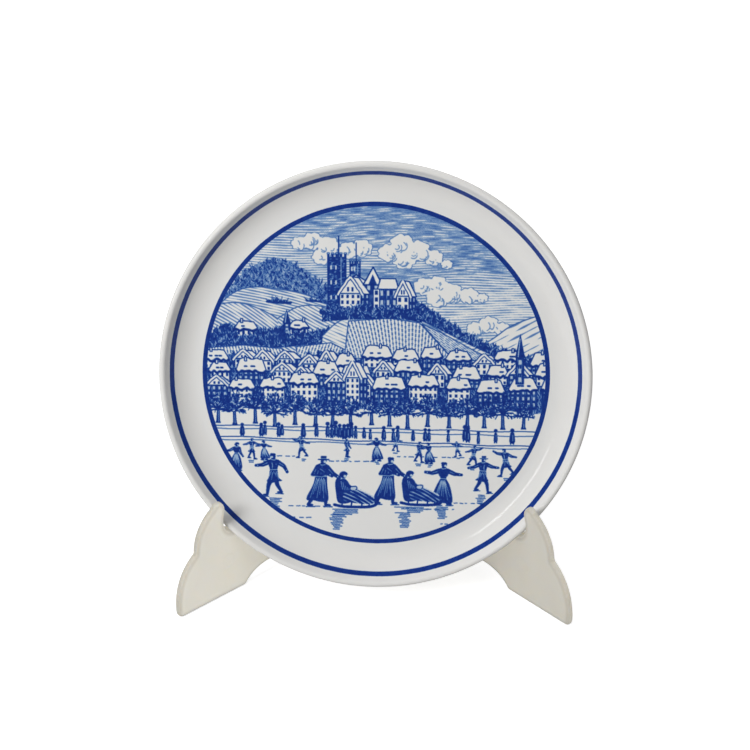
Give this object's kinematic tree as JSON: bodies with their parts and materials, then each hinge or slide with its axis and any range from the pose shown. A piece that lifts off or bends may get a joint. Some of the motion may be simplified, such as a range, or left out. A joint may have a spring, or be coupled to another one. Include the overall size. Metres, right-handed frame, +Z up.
{
  "type": "souvenir plate",
  "caption": "Round glazed wall plate with a blue printed winter scene and rim bands, leaning on a folding two-wing plastic stand.",
  "frame": {"origin": "on the table, in the middle of the box that holds the whole object at rest", "axes": "+Z up, -Y the front, the way the plate's picture faces, and X across the plate"},
  "size_m": [0.195, 0.0918, 0.1941],
  "materials": {
    "porcelain": "glossy white glaze with an underglaze cobalt print",
    "stand_plastic": "satin, slightly see-through warm white",
    "pin_plastic": "satin warm white"
  },
  "bodies": {
    "hinge_pin": {"hinge_pin": "pin_plastic"},
    "left_wing": {"left_wing": "stand_plastic"},
    "right_wing": {"right_wing": "stand_plastic"},
    "plate": {"plate": "porcelain"}
  },
  "joints": [
    {"name": "plate_lift", "type": "slide", "parent": "hinge_pin", "child": "plate", "axis": [0, 0, 1], "range_m": [0, 0.16]},
    {"name": "left_wing_fold", "type": "hinge", "parent": "hinge_pin", "child": "left_wing", "pos_m": [0, 0.0417, 0], "axis": [0, 0, 1], "range_deg": [0, 44]},
    {"name": "right_wing_fold", "type": "hinge", "parent": "hinge_pin", "child": "right_wing", "pos_m": [0, 0.0417, 0], "axis": [0, 0, 1], "range_deg": [-44, 0]}
  ],
  "couplings": [
    {"joint": "left_wing_fold", "follows": "plate_lift", "rad_per_m": 4.75},
    {"joint": "right_wing_fold", "follows": "plate_lift", "rad_per_m": -4.75}
  ]
}
